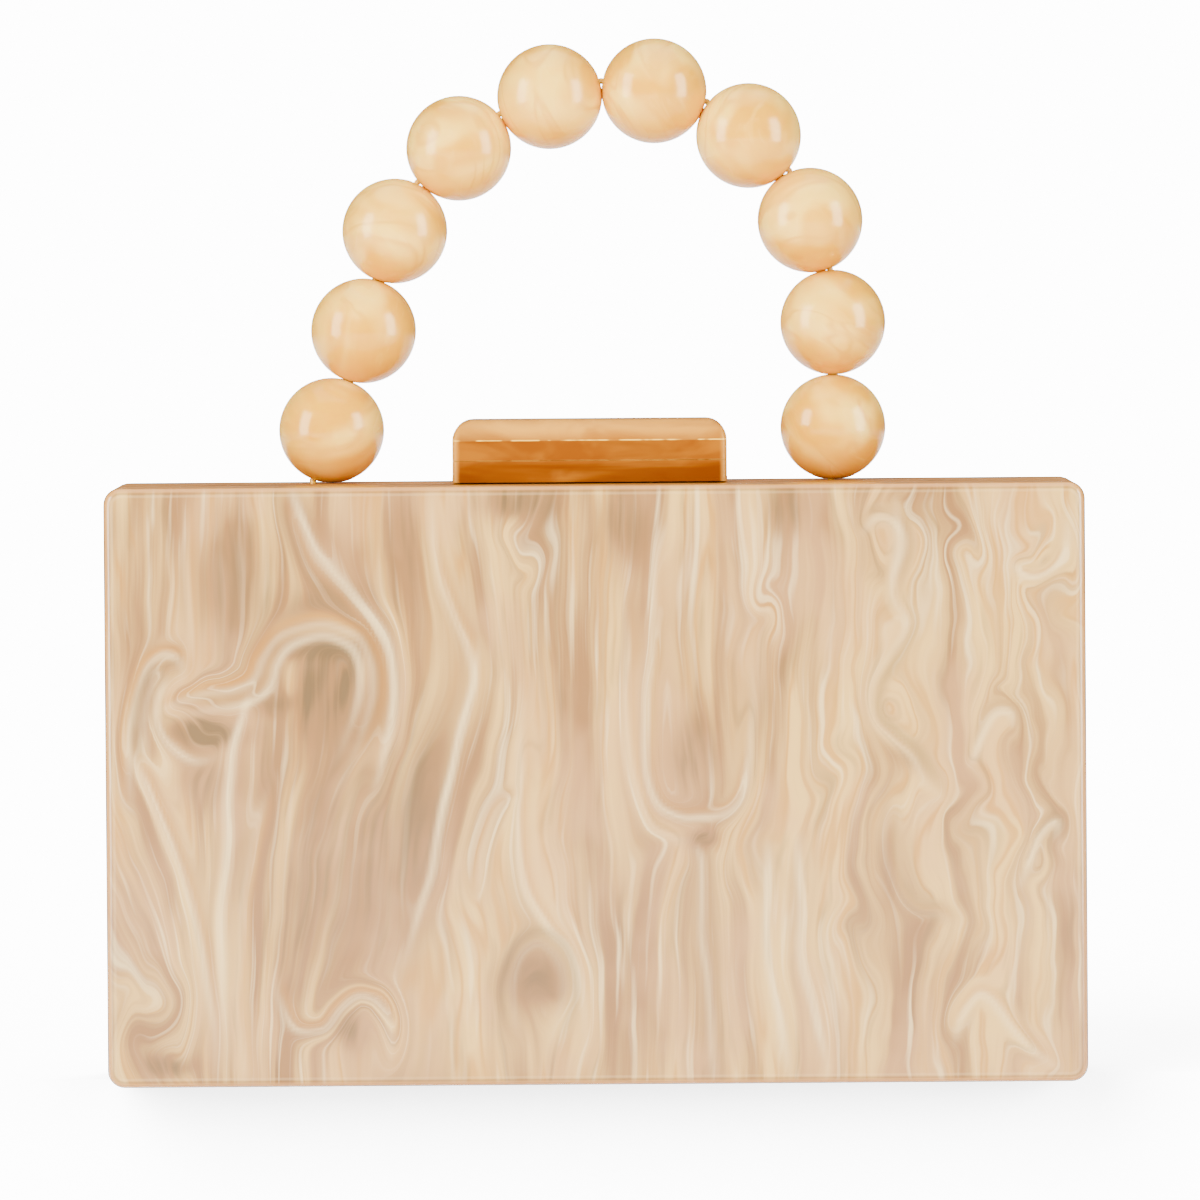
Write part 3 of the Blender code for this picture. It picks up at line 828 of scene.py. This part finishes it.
def marble_flow(x, z, bends, pinches, eddies, veins, shades):
    """Streak and length coordinates, tints, shade and stillness of the marble at each place"""
    wide, tight, tiny = (drift(x, z, size) for size in (13, 4.5, 2.2))
    lively = ease(20, 60, x)  # the folds are busiest on the right
    calm_x, calm_z = x + 0.5 * tight[0], z + 0.5 * tight[1]
    across = (x + (1.8 + 0.6 * lively) * wide[0] + (0.4 + 0.9 * lively) * tight[0]
              + (0.1 + 0.35 * lively) * tiny[0])
    along = z + 6.0 * wide[1] + 3.0 * tight[1]
    for cx, cz, radius, turn in eddies:
        dx, dz = across - cx, along - cz
        dx, dz = turned(dx, dz, np.radians(turn) * hill(dx / radius, dz / radius))
        across, along = cx + dx, cz + dz
    for cx, cz, half_x, half_z, push in bends:
        across = across - push * hill((across - cx) / half_x, (along - cz) / half_z)
    for cx, cz, half_x, half_z, keep in pinches:
        near = hill((across - cx) / half_x, (along - cz) / half_z)
        across = cx + (across - cx) * (1 + (1 / keep - 1) * near)

    # Beside a vein the streaks run along it, and the fine grain is still where they join it
    tint = np.zeros((len(x), 3))
    still = np.zeros(len(x))
    for width, amber, white, olive, points in veins.values():
        distance, side, share = beside(calm_x, calm_z, points, 3.5 * width)
        ends = ease(0, 0.22, share) * ease(0, 0.3, 1 - share)
        hold = hill(distance / (1.3 * width), 0) * ends
        off = distance * side
        centre = sum(p[0] for p in points) / len(points)
        across = across * (1 - hold) + (centre + 1.2 * off) * hold
        still += 3.6 * hold * (1 - hold)
        thin = max(0.38 * width, 0.76)  # a thinner line would break up on the mesh
        tint[:, 0] += amber * ends * hill((off - 0.35 * width) / (1.3 * thin), 0)
        tint[:, 1] += white * ends * hill((off + 0.35 * width) / thin, 0)
        tint[:, 2] += olive * ends * hill((off - width) / (1.5 * thin), 0)
    shade = np.zeros(len(x))
    for cx, cz, half_x, half_z, lean, depth in shades:
        u, v = turned(calm_x - cx, calm_z - cz, -math.radians(lean))
        shade += depth * hill(u / half_x, v / half_z)
    return across, along, np.clip(tint, 0, 1), shade, np.clip(still, 0, 0.9)


def lines_across(half, rim, cell):
    """Places of the mesh lines over one side of the slab, close together in its rounded rim"""
    rim_lines = rim * np.arange(RIM_LINES) / RIM_LINES
    inner = np.linspace(-half + rim, half - rim, round(2 * (half - rim) / cell) + 1)
    return np.concatenate([rim_lines - half, inner, half - rim_lines[::-1]])


def slab(name, node, outer, sizes, cell):
    """A thick sheet with rounded corners and a rounded outer edge, finely meshed on both faces.

    The outer face looks along -Y where outer is 1 and along +Y where it is -1. With the piece
    come the places of its vertices and their distances from the slab's rim.
    """
    low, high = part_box(node)
    middle, half = (low + high) / 2, (high - low) / 2
    corner, curve = sizes.slab_corner, sizes.slab_round
    xs = lines_across(half.x, curve, cell)
    zs = lines_across(half.z, curve, cell)
    begin()
    bpy.ops.mesh.primitive_grid_add(
        x_subdivisions=len(xs) - 1, y_subdivisions=len(zs) - 1, size=1.0)
    piece = started(name)
    edit(piece)
    bpy.ops.mesh.extrude_region_move(TRANSFORM_OT_translate={"value": (0, 0, 1)})
    done()
    co = np.empty(len(piece.data.vertices) * 3)
    piece.data.vertices.foreach_get("co", co)
    co = co.reshape(-1, 3)
    x = xs[np.rint((co[:, 0] + 0.5) * (len(xs) - 1)).astype(int)]
    z = zs[np.rint((co[:, 1] + 0.5) * (len(zs) - 1)).astype(int)]
    inside = co[:, 2] > 0.5

    # The mesh lines bend round the corners, and the outermost fold back over the edge
    dx, dz = np.abs(x) - (half.x - corner), np.abs(z) - (half.z - corner)
    in_corner = (dx > 0) & (dz > 0)
    edge = np.minimum(corner - np.maximum(dx, dz), half.z)
    in_rim = edge < curve
    fold = np.clip(edge / curve, 0, 1) * math.pi / 2
    out = corner - np.where(in_rim, curve * (1 - np.cos(fold)), edge)
    depth = curve * (1 - np.sin(fold))
    spread = np.maximum(np.hypot(dx, dz), 1e-9)
    new_dx = np.where(in_corner, dx / spread * out, np.where(in_rim & (dx > dz), out, dx))
    new_dz = np.where(in_corner, dz / spread * out, np.where(in_rim & (dz >= dx), out, dz))
    face = -half.y * outer
    co = np.stack([
        np.sign(x) * (half.x - corner + new_dx) + middle.x,
        np.where(inside, -face, face + outer * depth) + middle.y,
        np.sign(z) * (half.z - corner + new_dz) + middle.z,
    ], axis=1)
    piece.data.vertices.foreach_set("co", co.ravel())
    piece.data.update()
    edit(piece)
    bpy.ops.mesh.normals_make_consistent(inside=False)
    done()
    smooth(piece)
    return piece, co, np.where(inside, FAR_FROM_RIM, edge)


def keep_on_vertices(piece, name, values):
    """Stores a number or a vector for each vertex, which the piece's material reads"""
    kind, key = ("FLOAT", "value") if values.ndim == 1 else ("FLOAT_VECTOR", "vector")
    layer = piece.data.attributes.new(name, kind, "POINT")
    layer.data.foreach_set(key, np.ascontiguousarray(values, dtype=np.float32).ravel())


class CLUTCH_OT_slabs(Operator):
    """Adds the two marbled slabs, front and back"""

    bl_idname = "clutch.slabs"
    bl_label = "Marbled slabs"

    def execute(self, context):
        sizes, colours = choices(context)
        finish = marble_finish("marbled_acrylic_cast", colours)
        noise.seed_set(MARBLE_SEED)
        for name, node, body, outer, coarse, layer, tables in (
            ("front_marble", "front_panel", "front", 1, 1.0, 0.0,
             (FRONT_BENDS, FRONT_PINCHES, FRONT_EDDIES, FRONT_VEINS, FRONT_SHADES)),
            ("back_marble", "back_panel", "back", -1, 1.4, 40.0,
             (BACK_BENDS, BACK_PINCHES, BACK_EDDIES, BACK_VEINS, BACK_SHADES)),
        ):
            piece, co, edge = slab(name, node, outer, sizes, sizes.slab_cell * coarse)
            x, z = co[:, 0] / MM, co[:, 2] / MM
            across, along, tint, shade, still = marble_flow(x, z, *tables)
            flow = np.stack([across, along, np.full(len(x), layer)], axis=1)
            for key, values in (("flow", flow), ("tint", tint), ("shade", shade),
                                ("still", still), ("edge", edge / MM)):
                keep_on_vertices(piece, key, values)
            hand_over(piece, body, "marbled_acrylic", finish, node)
        return {"FINISHED"}


class CLUTCH_OT_shells(Operator):
    """Adds the two tinted shells that the slabs are glued on"""

    bl_idname = "clutch.shells"
    bl_label = "Tinted shells"

    def execute(self, context):
        sizes, colours = choices(context)
        finish = shell_finish("peach_acrylic_tinted", colours)
        for body in ("front", "back"):
            node = f"{body}_frame"
            piece = from_node(node, f"{body}_shell")
            low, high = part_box(node)
            slab_low, slab_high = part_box(f"{body}_panel")
            if body == "front":
                glued, slab_face, seam = low.y, slab_high.y, high.y
            else:
                glued, slab_face, seam = high.y, slab_low.y, low.y
            for vertex in piece.data.vertices:
                if abs(vertex.co.y - glued) < 0.1 * MM:
                    vertex.co.y = slab_face
                elif abs(vertex.co.y - seam) < 0.02 * MM and vertex.co.z > HINGE_HEIGHT:
                    vertex.co.y = math.copysign(SEAM_LINE, seam)
            round_edges(piece, sizes.shell_edge, 3, angle=40)
            smooth(piece)
            hand_over(piece, body, "peach_acrylic", finish, node)
        return {"FINISHED"}


def block(name, low, high):
    """A plain block from one corner to the opposite one"""
    begin()
    bpy.ops.mesh.primitive_cube_add(size=1.0, location=(low + high) / 2)
    piece = started(name)
    piece.scale = high - low
    settle(piece)
    return piece


def weigh(piece, top_z, corner_share):
    """Writes how far each edge is rounded: wholly on top, by the share on upright corners"""
    near = 0.01 * MM
    layer = piece.data.attributes.new("bevel_weight_edge", "FLOAT", "EDGE")
    vertices = piece.data.vertices
    xs, ys, _ = zip(*(vertex.co for vertex in vertices))
    for edge, weight in zip(piece.data.edges, layer.data):
        a, b = (vertices[i].co for i in edge.vertices)
        upright = abs(a.x - b.x) < near and abs(a.y - b.y) < near
        at_end = min(a.x - min(xs), max(xs) - a.x) < near
        at_face = min(a.y - min(ys), max(ys) - a.y) < near
        on_top = min(a.z, b.z) > top_z - near
        weight.value = 1.0 if on_top else corner_share if upright and at_end and at_face else 0.0


class CLUTCH_OT_clasp(Operator):
    """Adds the clasp: the bar on the back shell and the keeper on the front shell"""

    bl_idname = "clutch.clasp"
    bl_label = "Amber clasp"

    def execute(self, context):
        sizes, colours = choices(context)
        bar_low, bar_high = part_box("clasp_bar")
        keep_low, keep_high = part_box("clasp_keeper")
        step = keep_high.z + KEEPER_GROWTH
        finish = clasp_finish(
            "amber_acrylic_streaked", colours, bar_high.z - sizes.clasp_round, step)
        keep_high.z = step - CLASP_LINE

        # The bar's rear leg begins as far behind the seam as the keeper ends before it
        bar = block("clasp_bar_cast", Vector((bar_low.x, bar_low.y, step)), bar_high)
        edit(bar)
        bpy.ops.mesh.bisect(plane_co=(0, -keep_high.y, 0), plane_no=(0, 1, 0))
        pick(bar, "FACE", lambda face: face.normal.z < -0.9 and face.center.y > 0)
        bpy.ops.mesh.extrude_region_move(
            TRANSFORM_OT_translate={"value": (0, 0, bar_low.z - step)})
        bpy.ops.mesh.select_all(action="SELECT")
        bpy.ops.mesh.dissolve_limited(angle_limit=math.radians(1))
        done()
        keeper = block("clasp_keeper_cast", keep_low, keep_high)
        for piece, body, node, rounded_top in (
            (bar, "back", "clasp_bar", bar_high.z),
            (keeper, "front", "clasp_keeper", math.inf),
        ):
            weigh(piece, rounded_top, sizes.clasp_corner / sizes.clasp_round)
            apply_modifier(piece, "BEVEL", width=sizes.clasp_round, segments=8,
                           limit_method="WEIGHT")
            round_edges(piece, sizes.clasp_edge, 2)
            smooth(piece, 40)
            apply_modifier(piece, "WEIGHTED_NORMAL", keep_sharp=True, weight=100)
            hand_over(piece, body, "amber_acrylic", finish, node)
        return {"FINISHED"}


# name, x and z of the bead's middle, x and z of its hole's direction, turn about it in degrees
BEADS = (
    ("bead_01", -50.89, 125.30, 0.359, 0.933, 20),
    ("bead_02", -44.54, 144.58, 0.242, 0.970, 155),
    ("bead_03", -38.33, 163.91, 0.403, 0.915, 250),
    ("bead_04", -25.79, 179.87, 0.771, 0.636, 75),
    ("bead_05", -8.07, 189.77, 0.954, 0.301, 310),
    ("bead_06", 12.21, 190.75, 0.981, -0.196, 190),
    ("bead_07", 30.50, 181.94, 0.761, -0.649, 40),
    ("bead_08", 42.33, 165.44, 0.374, -0.928, 280),
    ("bead_09", 46.61, 145.60, 0.039, -0.999, 120),
    ("bead_10", 46.49, 125.30, -0.048, -0.999, 340),
)


def drilled_bead(radius, hole, segments):
    """One bead round the origin with a hole along Z, open at both mouths"""
    begin()
    rings = segments // 2
    bpy.ops.mesh.primitive_uv_sphere_add(segments=segments, ring_count=rings, radius=radius)
    bead = started("bead_model")
    pick(bead, "VERT", lambda vertex: vertex.co.xy.length < radius * 0.01)
    bpy.ops.mesh.delete(type="VERT")
    done()

    # The ring next to each pole becomes the mouth, and a wall joins the two mouths
    mouth_z = math.sqrt(radius ** 2 - hole ** 2)
    between_rings = radius * math.sin(math.pi / rings) * 1.5
    for vertex in bead.data.vertices:
        off = vertex.co.xy.length
        if off < between_rings:
            vertex.co = (vertex.co.x / off * hole, vertex.co.y / off * hole,
                         math.copysign(mouth_z, vertex.co.z))
    edit(bead)
    bpy.ops.mesh.select_all(action="DESELECT")
    bpy.ops.mesh.select_mode(type="EDGE")
    bpy.ops.mesh.select_non_manifold(extend=False)
    bpy.ops.mesh.bridge_edge_loops()
    bpy.ops.mesh.select_all(action="SELECT")
    bpy.ops.mesh.normals_make_consistent(inside=False)
    done()
    smooth(bead, 50)
    return bead


class CLUTCH_OT_beads(Operator):
    """Adds the ten drilled beads of the handle"""

    bl_idname = "clutch.beads"
    bl_label = "Pearly beads"

    def execute(self, context):
        sizes, colours = choices(context)
        finish = bead_finish("pearl_bead_cast", colours)
        low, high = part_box("bead_01")
        radius, middle_y = (high.y - low.y) / 2 + BEAD_SWELL, (high.y + low.y) / 2
        model = drilled_bead(radius, sizes.bead_hole, sizes.bead_segments)
        local = np.array([v.co for v in model.data.vertices])
        for index, (node, x, z, hole_x, hole_z, turn) in enumerate(BEADS):
            bead = bpy.data.objects.new(node + "_cast", model.data.copy())
            link(bead)
            upright = Vector((hole_x, 0, hole_z)).normalized().to_track_quat("Z", "Y")
            spun = upright.to_matrix() @ Matrix.Rotation(math.radians(turn), 3, "Z")
            middle = Vector((x * MM, middle_y, z * MM))
            bead.data.transform(Matrix.Translation(middle) @ spun.to_4x4())

            # Each bead shows another part of the same grain, and all get a painted warmer shade
            # underneath
            tumbled = np.array(Matrix.Rotation(math.radians(turn * 1.7), 3, (1, 0.4, 0.2)))
            keep_on_vertices(bead, "grain", local @ tumbled.T + 0.11 * (index + 1))
            heights = (np.array([v.co.z for v in bead.data.vertices]) - middle.z) / radius
            keep_on_vertices(bead, "painted_underside_shade", ease(0.1, 1.1, -heights))
            hand_over(bead, "back", "pearl_bead", finish, node)
        bpy.data.objects.remove(model)
        return {"FINISHED"}


class CLUTCH_OT_wire(Operator):
    """Finishes the handle's wire and adds its crimped stops"""

    bl_idname = "clutch.wire"
    bl_label = "Handle wire"

    def execute(self, context):
        colours = choices(context)[1]
        # painted reflection: the wire's honey colour stands in for the beads' golden reflection at
        # the box
        painted_reflection = wire_finish("handle_wire_painted_reflection", colours)
        crimped = metal_finish("stop_metal_crimped", colours.steel, colours.steel_hollows)
        for name, node, finish in (
            ("wire_drawn", "handle_wire", painted_reflection),
            ("stop_left", "wire_stop_left", crimped),
            ("stop_right", "wire_stop_right", crimped),
        ):
            piece = from_node(node, name)
            if finish is crimped:
                round_edges(piece, STOP_EDGE, 3)
            smooth(piece, 50)
            hand_over(piece, "back", "handle_wire", finish, node)
        return {"FINISHED"}


class CLUTCH_OT_hinges(Operator):
    """Adds the two brass hinges"""

    bl_idname = "clutch.hinges"
    bl_label = "Brass hinges"

    def execute(self, context):
        sizes, colours = choices(context)
        finish = metal_finish("hinge_brass_brushed", colours.brass, colours.brass_hollows)
        for part, body in (("leaf_front", "front"), ("leaf_back", "back"), ("pin", "back")):
            for side in ("left", "right"):
                node = f"hinge_{part}_{side}"
                piece = from_node(node, f"brass_{part}_{side}")
                round_edges(piece, sizes.brass_edge, 2)
                smooth(piece)
                hand_over(piece, body, "hinge_brass", finish, node)
        return {"FINISHED"}


# The floor lies at the ground behind the seam and a step lower before it, where the front half
# swings down past the ground
FLOOR_SIDE = 6.0
FLOOR_STEP = 24.6 * MM

# The camera takes in a square of so many pixels at so many millimetres each
IMAGE_SIDE = 1200
MM_PER_PIXEL = 0.19145
SENSOR = 36.0
CAMERA_DISTANCE = 2.5
CAMERA_HEIGHT = 0.165
CAMERA_ROLL = -0.42
AIM = Vector((0.0010, -0.026, 0.0930))

# name, place, width, height, watts, seen in gloss, lights matt surfaces
LIGHTS = (
    ("key_softbox", (-0.7, -1.4, 0.75), 1.2, 1.2, 86, False, True),
    ("fill_softbox", (0.9, -1.3, 0.12), 1.2, 1.2, 54, False, True),
    ("back_softbox", (0.3, 1.6, 1.0), 1.2, 1.2, 60, False, True),
    ("top_softbox", (0, 0.1, 1.5), 1.4, 1.4, 14, True, True),
    ("left_strip", (-0.95, -0.46, 0.3), 0.42, 1.0, 26, True, False),
    ("right_strip", (0.95, -0.46, 0.3), 0.42, 1.0, 26, True, False),
)
LIT_PLACE = (0, 0, 0.09)
BACKDROP_STRENGTH = 14.0  # white where the camera looks past the clutch
AMBIENT_STRENGTH = 0.22  # what the clutch gets from all round


def aim(thing, target, roll=0.0):
    """Turns a lamp or a camera towards the target, rolled by so many degrees"""
    turn = (Vector(target) - thing.location).to_track_quat("-Z", "Y").to_matrix()
    thing.rotation_euler = (turn @ Matrix.Rotation(math.radians(roll), 3, "Z")).to_euler()


def softbox(name, place, width, height, watts, glossy, diffuse):
    """A rectangular lamp turned to the clutch"""
    light = bpy.data.lights.new(name, "AREA")
    light.shape = "RECTANGLE"
    light.size, light.size_y = width, height
    light.energy = watts
    lamp = bpy.data.objects.new(name, light)
    link(lamp)
    lamp.location = place
    lamp.visible_glossy, lamp.visible_diffuse = glossy, diffuse
    aim(lamp, LIT_PLACE)


def stepped_floor(colours):
    """A plain floor with a low step under the seam, which shows only the shadows on it"""
    begin()
    bpy.ops.mesh.primitive_plane_add(size=FLOOR_SIDE, location=(0, FLOOR_SIDE / 2, 0))
    floor = started("studio_floor")
    settle(floor)
    pick(floor, "EDGE", lambda edge: all(
        abs(floor.data.vertices[i].co.y) < MM for i in edge.vertices))
    bpy.ops.mesh.extrude_edges_move(TRANSFORM_OT_translate={"value": (0, 0, -FLOOR_STEP)})
    bpy.ops.mesh.extrude_edges_move(TRANSFORM_OT_translate={"value": (0, -FLOOR_SIDE, 0)})
    done()
    finish = Finish("studio_floor_matt")
    mottle = finish.noise(finish.place(), (9, 9, 9))
    shade = (*(0.97 * value for value in colours.floor[:3]), 1.0)
    finish.surface(
        Base_Color=finish.mix(colours.floor, (shade, finish.span(mottle, 0.3, 0.7))),
        Roughness=0.9,
    )
    floor.data.materials.append(finish.material)
    floor.is_shadow_catcher = True


def white_surroundings():
    """A bright backdrop for the camera and a weak even light for the clutch"""
    world = bpy.data.worlds.new("white_surroundings")
    world.use_nodes = True
    bpy.context.scene.world = world
    nodes, links = world.node_tree.nodes, world.node_tree.links
    nodes.clear()
    output = nodes.new("ShaderNodeOutputWorld")
    seen = nodes.new("ShaderNodeLightPath")
    either = nodes.new("ShaderNodeMixShader")
    links.new(seen.outputs["Is Camera Ray"], either.inputs[0])
    for slot, strength in ((1, AMBIENT_STRENGTH), (2, BACKDROP_STRENGTH)):
        white = nodes.new("ShaderNodeBackground")
        white.inputs["Color"].default_value = (1, 1, 1, 1)
        white.inputs["Strength"].default_value = strength
        links.new(white.outputs[0], either.inputs[slot])
    links.new(either.outputs[0], output.inputs["Surface"])


def studio_camera():
    """A camera before the clutch whose picture is as wide as the photographed square"""
    camera = bpy.data.cameras.new("studio_camera")
    camera.sensor_width = SENSOR
    camera.lens = SENSOR * CAMERA_DISTANCE / (IMAGE_SIDE * MM_PER_PIXEL * MM)
    camera.clip_start, camera.clip_end = 0.05, 20.0
    stand = bpy.data.objects.new("studio_camera", camera)
    link(stand)
    stand.location = (AIM.x, AIM.y - CAMERA_DISTANCE, CAMERA_HEIGHT)
    aim(stand, AIM, CAMERA_ROLL)
    bpy.context.scene.camera = stand


class CLUTCH_OT_studio(Operator):
    """Adds the floor, the soft lights, the white surroundings and the camera"""

    bl_idname = "clutch.studio"
    bl_label = "Studio"

    def execute(self, context):
        stepped_floor(choices(context)[1])
        white_surroundings()
        for light in LIGHTS:
            softbox(*light)
        studio_camera()
        return {"FINISHED"}


class CLUTCH_PT_sidebar(Panel):
    """Lists the clutch's pieces, sizes and colours"""

    bl_idname = "CLUTCH_PT_sidebar"
    bl_label = "Marbled Box Clutch"
    bl_space_type = "VIEW_3D"
    bl_region_type = "UI"
    bl_category = "Clutch"

    def draw(self, context):
        layout = self.layout
        for group in (context.scene.clutch_sizes, context.scene.clutch_colours):
            box = layout.box()
            for name in group.bl_rna.properties.keys():
                if name not in ("rna_type", "name"):
                    box.prop(group, name)
        for step in STEPS:
            layout.operator(step.bl_idname)


STEPS = (
    CLUTCH_OT_slabs,
    CLUTCH_OT_shells,
    CLUTCH_OT_clasp,
    CLUTCH_OT_beads,
    CLUTCH_OT_wire,
    CLUTCH_OT_hinges,
    CLUTCH_OT_studio,
)
CLASSES = (ClutchSizes, ClutchColours, *STEPS, CLUTCH_PT_sidebar)


def register():
    for item in CLASSES:
        bpy.utils.register_class(item)
    bpy.types.Scene.clutch_sizes = PointerProperty(type=ClutchSizes)
    bpy.types.Scene.clutch_colours = PointerProperty(type=ClutchColours)


def unregister():
    del bpy.types.Scene.clutch_colours
    del bpy.types.Scene.clutch_sizes
    for item in reversed(CLASSES):
        bpy.utils.unregister_class(item)


def main():
    register()
    bpy.ops.clutch.slabs()
    bpy.ops.clutch.shells()
    bpy.ops.clutch.clasp()
    bpy.ops.clutch.beads()
    bpy.ops.clutch.wire()
    bpy.ops.clutch.hinges()
    bpy.ops.clutch.studio()


if __name__ == "__main__":
    main()
